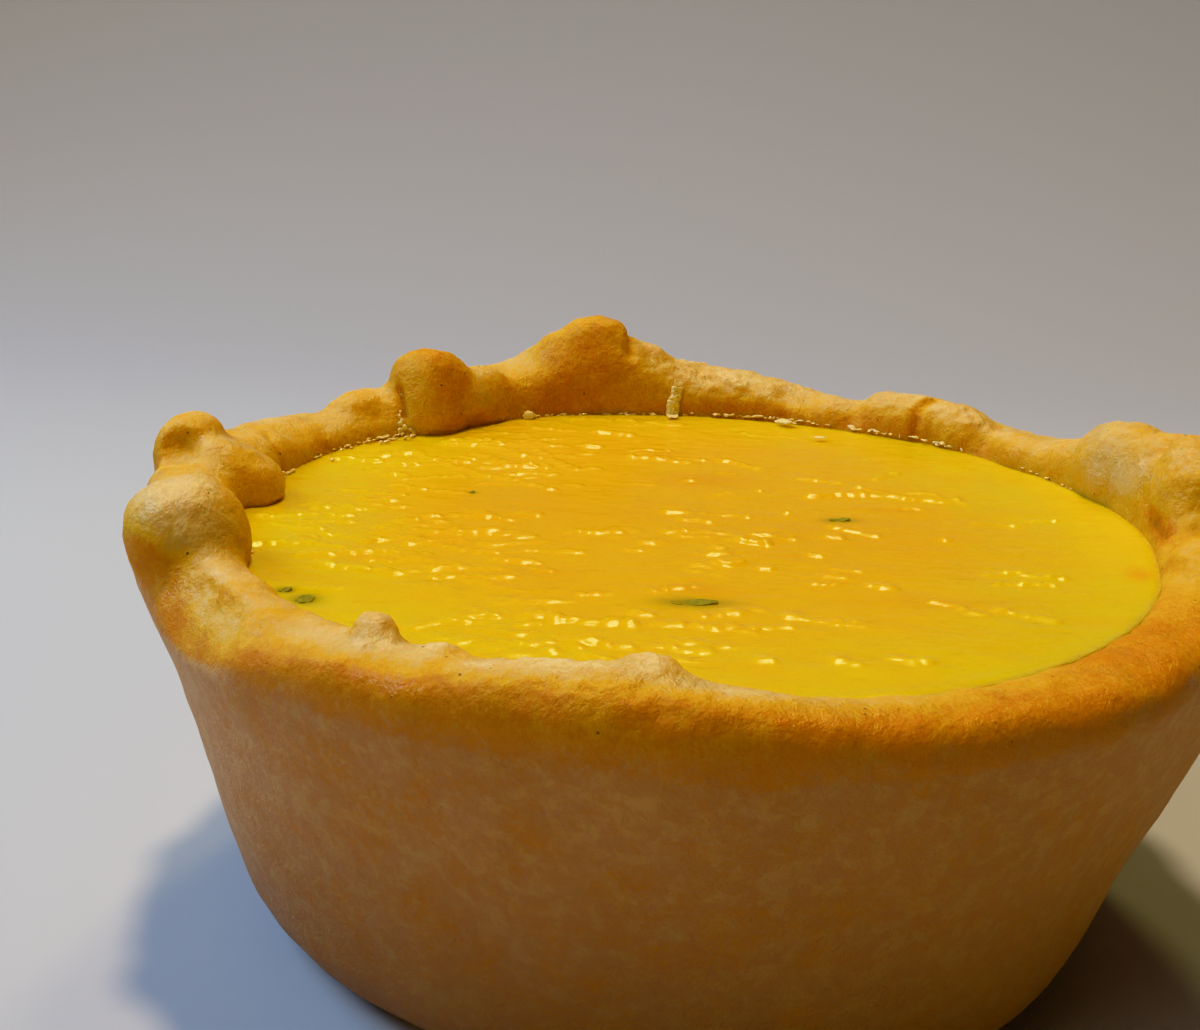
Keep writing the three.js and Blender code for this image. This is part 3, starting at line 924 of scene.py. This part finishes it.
def skin_fold(random, x, y, length, width, stray):
    """One short fold: its two ends, half width and height."""
    lean = math.radians(FOLD_TURN + FOLD_TURN_PER_X * x)
    turn = lean + math.radians(random.normal(0, 9 * stray))
    along, across = 0.5 * length * math.cos(turn), 0.5 * length * math.sin(turn)
    slope = (FOLD_SLOPE + FOLD_SLOPE_PER_Y * y + random.normal(0, 0.04 * stray)) / math.cos(lean)
    return x - along, y - across, x + along, y + across, width, 1.6 * width * slope


def row_of_folds(random, x0, y0, x1, y1, width, stray):
    """Short folds side by side along a line."""
    step = 2.6 * width
    count = math.ceil(math.dist((x0, y0), (x1, y1)) / step) + 1
    for share in np.linspace(0, 1, count):
        x, y = x0 + share * (x1 - x0), y0 + share * (y1 - y0) + random.normal(0, 0.3 * width)
        length = step * random.uniform(0.7, 1.7)
        yield skin_fold(random, x, y, length, width * random.uniform(0.7, 1.2), stray)


def skin_folds():
    """Rows of short folds along the wrinkled lines, and shorter rows elsewhere."""
    random = np.random.default_rng(7)
    for line in SKIN_WRINKLES:
        yield from row_of_folds(random, *line, stray=0.3)
    middles = random.uniform(-29, 29, (WRINKLE_CLUSTERS * 6, 2))
    flat = np.column_stack([middles, np.zeros(len(middles))])
    wanted = 0.45 + 0.9 * clouds(flat, (7, 4, 1), 17)
    for x, y, reach_x, reach_y, more in CROWDED_SKIN:
        wanted += more * bell(middles[:, 0] - x, reach_x) * bell(middles[:, 1] - y, reach_y)
    chosen = (wanted > random.uniform(0, 1.3, len(middles))) & (radii(flat) < WRINKLED_RADIUS)
    for x, y in middles[chosen][:WRINKLE_CLUSTERS]:
        turn = math.radians(random.normal(-6, 14) + 0.5 * FOLD_TURN_PER_X * min(x, 0))
        half = 0.5 * random.uniform(0.8, 2.2) ** 2
        across, away = half * math.cos(turn), half * math.sin(turn)
        yield from row_of_folds(random, x - across, y - away, x + across, y + away,
                                random.uniform(0.18, 0.40), stray=0.7)


def skin_relief(points, fine_height):
    """How far the custard's skin stands above its level: wrinkles, blisters and a soft swell."""
    flat = points * (1, 1, 0)
    relief = np.zeros(len(points))
    bent = flat.copy()
    for axis, seed in enumerate((11, 12)):
        bent[:, axis] += 0.22 * clouds(flat, 1.8, seed) + 0.12 * clouds(flat, 0.7, seed + 3)
    for wrinkle in skin_folds():
        x0, y0, x1, y1 = wrinkle[:4]
        gap = np.hypot(bent[:, 0] - (x0 + x1) / 2, bent[:, 1] - (y0 + y1) / 2)
        near = gap < 1.5 + math.dist((x0, y0), (x1, y1))
        relief[near] = np.maximum(relief[near], wrinkle_relief(bent[near], *wrinkle))
    for blister in BLISTERS:
        relief += blister_relief(flat, *blister)
    swell = 0.5 * clouds(flat, 8, 23) + 0.45 * clouds(flat, (3.4, 2.2, 1), 24)
    fine = 0.25 * clouds(bent, (1.6, 0.7, 1), 22)
    return relief + fine_height * (fine + swell)


class MakeCustard(bpy.types.Operator):
    """Make the egg custard from the CAD filling"""

    bl_idname = "quiche.custard"
    bl_label = "Custard filling"

    def execute(self, context):
        settings = context.scene.quiche_custard
        custard = copy_of_node("custard", "custard_filling")
        apply_modifier(custard, "REMESH", mode="VOXEL", voxel_size=settings.cell)
        thin_out(custard, lambda points: points[:, 2] < CUSTARD_TOP - 1.0, ratio=0.01)
        apply_modifier(custard, "SMOOTH", factor=0.5, iterations=8)
        points, normals = points_of(custard), normals_of(custard)
        outward = normals * (1, 1, 0) * ramp(np.abs(normals[:, :2]).max(axis=1), 0.1, 0.6)[:, None]
        points += CUSTARD_GROWTH * outward
        up = ramp(normals[:, 2], 0.3, 0.9) * ramp(points[:, 2], CUSTARD_TOP - 1.5, CUSTARD_TOP - 0.6)
        relief = skin_relief(points, settings.wrinkle / MM)
        edge = bell(gap_to_case(points), MENISCUS_REACH)
        points[:, 2] += (relief * (1 - edge) + settings.meniscus / MM * edge) * up
        move_points(custard, points)
        paint_custard(custard, points)
        paint(custard, "edge", edge)
        finish_piece(custard, custard_material(settings), "custard")
        return {"FINISHED"}


def built_case():
    """The surface of the pastry case, which other pieces lie against."""
    case = bpy.data.objects.get("pastry_case")
    if case is None:
        raise RuntimeError("Make the pastry case first")
    return surface_of(case)


FAR_GAP = 9.0


def gap_to_case(points):
    """Distance to the pastry case of the points that may be near it, and a large one for the rest."""
    case, gap = built_case(), np.full(len(points), FAR_GAP)
    for i in np.flatnonzero((radii(points) > 26) & (points[:, 2] > CUSTARD_TOP - 1.5)):
        gap[i] = case.find_nearest(Vector(points[i]) * MM)[3] / MM
    return gap


def paint_custard(custard, points):
    """Where the filling is lemon, where it is amber, and where a herb stains it."""
    flat = points * (1, 1, 0)
    edge = ramp(radii(points) + 2.5 * clouds(flat, 9, 25), 15, 30)
    lemon = edge * (0.75 + 0.25 * ramp(np.abs(flat[:, 0]), 8, 22)) + 0.18 * clouds(flat, (5, 3, 1), 26)
    lemon -= 0.35 * bell(flat[:, 1] - 20, 6) * bell(flat[:, 0] + 6, 14)
    amber = 0.22 * np.maximum(clouds(flat, (4.5, 2, 1), 27), 0)
    for x, y, along, deep, amount in YOLK_PATCHES:
        amber += amount * bell(np.hypot((flat[:, 0] - x) / along, (flat[:, 1] - y) / deep), 1)
    herb = np.zeros(len(points))
    for x, y, length, width, turn in HERBS:
        ahead, aside = turned(flat[:, 0] - x, flat[:, 1] - y, turn)
        herb = np.maximum(herb, 0.8 * bell(np.hypot(ahead / (0.8 * length), aside / (1.1 * width)), 1))
    paint(custard, "herb", herb)
    paint(custard, "lemon", lemon)
    paint(custard, "amber", amber)


def custard_material(settings):
    material, tree, shader = new_material("Egg custard")
    colour = mix_colour(tree, attribute_node(tree, "lemon"), settings.yolk, settings.lemon)
    colour = mix_colour(tree, attribute_node(tree, "amber"), colour, settings.amber)
    streaks = noise_node(tree, 0.50, detail=3, rough=0.6, distort=0.5, stretch=(4, 1, 1))
    dark = range_node(tree, streaks, 0.60, 0.74, 0, 0.30)
    colour = mix_colour(tree, dark, colour, settings.streak)
    colour = mix_colour(tree, attribute_node(tree, "herb"), colour, settings.stain)
    # Painted light along the custard's edge at the case, against the shade in the gap there
    edge_light = range_node(tree, attribute_node(tree, "edge"), 0.75, 1.0, 0, 0.6)
    colour = mix_colour(tree, edge_light, colour, settings.edge_light)
    feed_all(tree, shader, {"Base Color": colour, "Roughness": 0.21, "Specular IOR Level": 0.5,
                            "Specular Tint": (0.75, 0.95, 0.10), **flesh(0.5, (2.2, 1.1, 0.1))})
    fine = noise_node(tree, 0.5, detail=2, rough=0.5, distort=0.3, stretch=(1.8, 1, 1))
    bump_node(tree, shader, fine, 0.025)
    return material


# ---- the small pieces ----
def crumb_shape(name, divisions, seed):
    """A knobbly lump about one millimetre across."""
    crumb = new_piece(name, bpy.ops.mesh.primitive_ico_sphere_add, subdivisions=divisions, radius=0.5 * MM)
    points = points_of(crumb)
    away = points / np.linalg.norm(points, axis=1)[:, None]
    knobs = 0.16 * clouds(points, 0.4, seed) + 0.08 * clouds(points, 0.2, seed)
    move_points(crumb, points + away * knobs[:, None])
    return crumb


def place_copies(shape, places):
    """Joins copies of a shape, each with its own mesh, into one piece, and removes the shape.

    A place is its middle, the unit vector that its Z takes, its turn about it and its three sizes."""
    copies = []
    for middle, up, turn, sizes in places:
        copy = bpy.data.objects.new(shape.name, shape.data.copy())
        bpy.context.scene.collection.objects.link(copy)
        lean = Vector(up).to_track_quat("Z", "Y").to_matrix().to_4x4()
        copy.data.transform(Matrix.Translation(Vector(middle) * MM) @ lean @ Matrix.Rotation(turn, 4, "Z")
                            @ Matrix.Diagonal((*sizes, 1)))
        copies.append(copy)
    bpy.ops.object.select_all(action="DESELECT")
    for copy in copies:
        copy.select_set(True)
    bpy.context.view_layer.objects.active = copies[0]
    bpy.ops.object.join()
    name = shape.name
    bpy.data.objects.remove(shape)
    copies[0].name = name
    return copies[0]


def edge_of_custard(case, azimuth, height=0.15):
    """Where the case's inside meets the custard's top at an azimuth, and the normal there."""
    start = Vector((0, 0, CUSTARD_TOP + height)) * MM
    hit, normal = case.ray_cast(start, Vector(at(azimuth, 1, 0)))[:2]
    if hit is None:
        raise RuntimeError("The custard's edge was not found")
    return np.array(hit) / MM, np.array(normal)


class MakeHerbs(bpy.types.Operator):
    """Make the herb flecks in the custard's skin"""

    bl_idname = "quiche.herbs"
    bl_label = "Herb flecks"

    def execute(self, context):
        settings = context.scene.quiche_bits
        leaf = new_piece("herb_flecks", bpy.ops.mesh.primitive_grid_add, x_subdivisions=14,
                         y_subdivisions=7, size=MM)
        points = points_of(leaf)
        along, beside = points[:, 0], points[:, 1].copy()
        outline = np.sqrt(np.maximum(1 - (1.9 * np.abs(along)) ** 2.4, 0.05))
        points[:, 1] = beside * outline * (1 + 0.45 * clouds(points, 0.25, 41))
        points[:, 2] = 0.10 * np.abs(beside) + 0.14 * clouds(points, 0.45, 42)
        move_points(leaf, points)
        thicken(leaf, HERB_THICK)
        skin = surface_of(bpy.data.objects["custard_filling"])
        places = []
        for x, y, length, width, turn in HERBS:
            top = skin.ray_cast(Vector((x, y, SKY)) * MM, Vector((0, 0, -1)))[0]
            middle = np.array(top) / MM - (0, 0, HERB_SINK)
            places.append((middle, (0, 0, 1), math.radians(turn), (length, width, 1)))
        herbs = place_copies(leaf, places)
        material, tree, shader = new_material("Herb")
        shade = range_node(tree, noise_node(tree, 0.3), 0.3, 0.7)
        feed_all(tree, shader, {"Base Color": mix_colour(tree, shade, settings.herb, settings.vein),
                                "Roughness": 0.5, "Specular IOR Level": 0.15})
        finish_piece(herbs, material, None)
        return {"FINISHED"}


class MakeCrumbs(bpy.types.Operator):
    """Make the loose crumbs, and the fine ones that stand up on the rim"""

    bl_idname = "quiche.crumbs"
    bl_label = "Crumbs"

    def execute(self, context):
        case = built_case()
        places = []
        for azimuth, radius, length, width, thick, turn in LOOSE_CRUMBS:
            middle = at(azimuth, radius, CUSTARD_TOP + 0.1 + 0.35 * thick)
            places.append((middle, (0, 0, 1), math.radians(turn), (length, width, thick)))
        loose = place_copies(crumb_shape("loose_crumbs", 4, 43), places)
        random = np.random.default_rng(9)
        places = []
        while len(places) < RIM_CRUMBS:
            azimuth = random.uniform(0, 360)
            crowd = sum(much * bell(turn_between(azimuth, place), reach)
                        for place, reach, much in CRUMB_CROWDS)
            if random.uniform() > 0.04 + crowd:
                continue
            above = Vector(at(azimuth, random.uniform(*RIM_RADII), SKY)) * MM
            hit, normal = case.ray_cast(above, Vector((0, 0, -1)))[:2]
            if hit is None or normal.z < 0.3 or not RIM_HEIGHTS[0] * MM < hit.z < RIM_HEIGHTS[1] * MM:
                continue
            size = random.uniform(*RIM_CRUMB_SIZES)
            middle = np.array(hit) / MM - 0.25 * size * np.array(normal)
            turn = random.uniform(0, 6.28)
            places.append((middle, normal, turn, (size, size * random.uniform(0.6, 1), 0.7 * size)))
        fine = place_copies(crumb_shape("rim_crumbs", 2, 44), places)
        # The loose crumbs take the crumb colour wholly, partly as painted light
        for piece, toast, paleness in ((loose, 0.0, 1.0), (fine, 0.3, 0.2)):
            material = pastry_material(context.scene.quiche_pastry, "Crumb", softness=0, paleness=paleness)
            paint(piece, "toast", np.full(len(piece.data.vertices), toast))
            paint(piece, "broken", np.ones(len(piece.data.vertices)))
            finish_piece(piece, material, None)
        return {"FINISHED"}


class MakeFlake(bpy.types.Operator):
    """Make the pale flake on the inside of the back"""

    bl_idname = "quiche.flake"
    bl_label = "Flake"

    def execute(self, context):
        flake = new_piece("pastry_flake", bpy.ops.mesh.primitive_grid_add, x_subdivisions=14,
                          y_subdivisions=44, size=MM)
        case, points = built_case(), points_of(flake)
        beside, down = points[:, 0].copy(), 0.5 - points[:, 1]
        knots = np.linspace(0, 1, len(FLAKE_PATH))
        azimuth, height = (np.interp(down, knots, [p[i] for p in FLAKE_PATH]) for i in (0, 1))
        here = np.column_stack([beside * 2, height, 0 * height])
        onto = np.maximum(CUSTARD_TOP + 0.2 - height, 0)
        height = height + onto
        ragged = clouds(here * (0, 1, 0) + np.sign(beside)[:, None], 0.6, 45)
        ragged += 0.5 * clouds(here * (0, 1, 0) - np.sign(beside)[:, None], 0.25, 48)
        spread = beside * FLAKE_WIDTH * (0.85 + 0.35 * ragged)
        for i, point in enumerate(at_rim(azimuth - np.degrees(spread / FLAKE_RADIUS))):
            hit, normal = case.ray_cast(Vector((0, 0, height[i])) * MM, Vector(point))[:2]
            middle = 1 - (2 * beside[i]) ** 4
            points[i] = np.array(hit) / MM + np.array(normal) * FLAKE_STAND * middle - onto[i] * point
        crinkle = 0.16 * clouds(points, 0.45, 46) + 0.09 * clouds(points, 0.2, 47)
        points -= at_rim(azimuth) * crinkle[:, None]
        move_points(flake, points)
        thicken(flake, FLAKE_THICK)
        paint(flake, "broken", np.ones(len(flake.data.vertices)))
        # Mostly the crumb colour, partly painted light, as the flake faces away from the lamps
        material = pastry_material(context.scene.quiche_pastry, "Flake", softness=0, paleness=0.8)
        finish_piece(flake, material, None)
        return {"FINISHED"}


class MakeButter(bpy.types.Operator):
    """Make the beads of butter along the custard's edge"""

    bl_idname = "quiche.butter"
    bl_label = "Butter beads"

    def execute(self, context):
        settings = context.scene.quiche_bits
        case, random, places = built_case(), np.random.default_rng(12), []
        for low, high, count, radius, spread in BUTTER_RUNS:
            for azimuth in random.uniform(low, high, count):
                wall = edge_of_custard(case, azimuth)[0]
                size = radius * random.uniform(0.6, 1.7)
                wall -= at(azimuth, spread * random.uniform(0, 1) ** 2, 0)
                wall[2] = CUSTARD_TOP + random.uniform(0.05, 0.28)
                sizes = (2 * size * random.uniform(1, 2), 2 * size, 1.2 * size)
                places.append((wall, (0, 0, 1), math.radians(azimuth + 90), sizes))
        for azimuth, height, radius in BUTTER_DRIPS:
            wall, normal = edge_of_custard(case, azimuth, height - CUSTARD_TOP)
            places.append((wall, normal, 0, (2 * radius, 2 * radius, 1.4 * radius)))
        drop = new_piece("butter_beads", bpy.ops.mesh.primitive_ico_sphere_add, subdivisions=3,
                         radius=0.5 * MM)
        points = points_of(drop)
        points[:, 2] -= 0.25 * np.minimum(points[:, 2], 0)
        move_points(drop, points)
        beads = place_copies(drop, places)
        apply_modifier(beads, "REMESH", mode="VOXEL", voxel_size=0.06 * MM)
        apply_modifier(beads, "SMOOTH", factor=0.5, iterations=4)
        material, tree, shader = new_material("Butter")
        feed_all(tree, shader, {"Base Color": settings.butter, "Roughness": 0.12, "IOR": 1.46,
                                "Transmission Weight": 0.1, "Specular IOR Level": 0.8})
        finish_piece(beads, material, None)
        return {"FINISHED"}


# ---- the stage ----
CAMERA_PLACE = (0, -124.07, 65.49)
CAMERA_YAW = -2.805
CAMERA_PITCH = 17.2345
CAMERA_ROLL = -1.84
FRAME_WIDTH = 1200
FOCAL_PIXELS = 1878
SENSOR = 36

# The lamps: place, what each aims at, its width, its colour and how far it spreads, in degrees.
LAMPS = {
    "lamp": ((-38, 192, 1185), (10, 60, 25), 130, (1.0, 0.76, 0.47), 70),
    "glint": ((40, 760, 900), (0, 0, 25), 150, (1.0, 0.88, 0.38), 180),
    "window": ((-360, 60, 330), (0, 0, 20), 260, (0.30, 0.56, 1.0), 90),
    "fill": ((-330, -330, 480), (0, 0, 20), 360, (0.95, 0.85, 0.70), 180),
}
ROOM_COLOUR = (0.75, 0.68, 0.62)
ROOM_LIGHT = 0.11

# The table: its width, how much of its far side is left out, and the backdrop's height and bend.
TABLE = 2400
TABLE_CUT = 870
BACKDROP = 300
BEND = 150
PAPER_COLOUR = (0.52, 0.53, 0.54)


def camera_turn():
    """The camera's axes as a rotation matrix, from its yaw, pitch and roll."""
    yaw, pitch, roll = (math.radians(a) for a in (CAMERA_YAW, CAMERA_PITCH, CAMERA_ROLL))
    ahead = Vector((math.sin(yaw) * math.cos(pitch), math.cos(yaw) * math.cos(pitch), -math.sin(pitch)))
    level = Vector((math.cos(yaw), -math.sin(yaw), 0))
    below = ahead.cross(level)
    right = math.cos(roll) * level + math.sin(roll) * below
    down = -math.sin(roll) * level + math.cos(roll) * below
    return Matrix((right, -down, -ahead)).transposed()


def add_camera():
    camera = bpy.data.objects.new("camera", bpy.data.cameras.new("camera"))
    bpy.context.scene.collection.objects.link(camera)
    camera.matrix_world = Matrix.Translation(Vector(CAMERA_PLACE) * MM) @ camera_turn().to_4x4()
    camera.data.sensor_width = SENSOR
    camera.data.lens = FOCAL_PIXELS / FRAME_WIDTH * SENSOR
    camera.data.clip_start = 0.001
    camera.data.clip_end = 20
    bpy.context.scene.camera = camera


def add_lamp(name, power, place, aim, size, colour, spread):
    lamp = bpy.data.lights.new(name, "AREA")
    lamp.spread = math.radians(spread)
    lamp.shape = "DISK"
    lamp.size = size * MM
    lamp.energy = power
    lamp.color = colour
    piece = bpy.data.objects.new(name, lamp)
    bpy.context.scene.collection.objects.link(piece)
    piece.location = Vector(place) * MM
    piece.rotation_euler = (Vector(aim) * MM - piece.location).to_track_quat("-Z", "Y").to_euler()


def select_far_edge(sweep):
    """Selects the edge between the table and its backdrop."""
    for edge in sweep.data.edges:
        ends = [sweep.data.vertices[v].co for v in edge.vertices]
        edge.select = all(abs(e.z) < 1e-6 and e.y > 0.1 for e in ends)


def add_sweep():
    """A table whose far side curves up into the backdrop."""
    sweep = new_piece("sweep", bpy.ops.mesh.primitive_plane_add, size=TABLE * MM, location=(0, 0, 0))
    with edit_mode():
        bpy.ops.mesh.select_mode(type="EDGE")
        bpy.ops.mesh.select_all(action="DESELECT")
    select_far_edge(sweep)
    with edit_mode():
        bpy.ops.transform.translate(value=(0, -TABLE_CUT * MM, 0))
        bpy.ops.mesh.extrude_region_move(TRANSFORM_OT_translate={"value": (0, 0, BACKDROP * MM)})
        bpy.ops.mesh.select_all(action="DESELECT")
    select_far_edge(sweep)
    with edit_mode():
        bpy.ops.mesh.bevel(offset=BEND * MM, segments=24)
    bpy.ops.object.shade_smooth()
    material, tree, shader = new_material("Pale paper")
    feed_all(tree, shader, {"Base Color": PAPER_COLOUR, "Roughness": 0.8, "Specular IOR Level": 0.2})
    sweep.data.materials.append(material)


class MakeStage(bpy.types.Operator):
    """Make the table, the lights and the camera"""

    bl_idname = "quiche.stage"
    bl_label = "Stage"

    def execute(self, context):
        settings = context.scene.quiche_stage
        add_sweep()
        add_camera()
        for name, lamp in LAMPS.items():
            add_lamp(name, getattr(settings, name), *lamp)
        world = bpy.data.worlds.new("room")
        world.use_nodes = True
        background = world.node_tree.nodes["Background"]
        feed_all(world.node_tree, background, {"Color": ROOM_COLOUR, "Strength": ROOM_LIGHT})
        context.scene.world = world
        context.scene.view_settings.view_transform = "Khronos PBR Neutral"
        return {"FINISHED"}


# ---- the add-on ----
class QuichePanel(bpy.types.Panel):
    """Lists the pieces of the quiche"""

    bl_idname = "VIEW3D_PT_quiche"
    bl_label = "Small quiche"
    bl_space_type = "VIEW_3D"
    bl_region_type = "UI"
    bl_category = "Quiche"

    def draw(self, context):
        for operator in PIECES:
            self.layout.operator(operator.bl_idname)


SETTINGS = {"quiche_pastry": PastrySettings, "quiche_custard": CustardSettings, "quiche_bits": BitsSettings,
            "quiche_stage": StageSettings}
PIECES = (MakePastryCase, MakeCustard, MakeHerbs, MakeCrumbs, MakeFlake, MakeButter, MakeStage)


def register():
    for kind in (*SETTINGS.values(), *PIECES, QuichePanel):
        bpy.utils.register_class(kind)
    for name, kind in SETTINGS.items():
        setattr(bpy.types.Scene, name, PointerProperty(type=kind))


def unregister():
    for name in SETTINGS:
        delattr(bpy.types.Scene, name)
    for kind in reversed((*SETTINGS.values(), *PIECES, QuichePanel)):
        bpy.utils.unregister_class(kind)


def main():
    register()
    bpy.ops.quiche.pastry_case()
    bpy.ops.quiche.custard()
    bpy.ops.quiche.herbs()
    bpy.ops.quiche.crumbs()
    bpy.ops.quiche.flake()
    bpy.ops.quiche.butter()
    bpy.ops.quiche.stage()


if __name__ == "__main__":
    main()
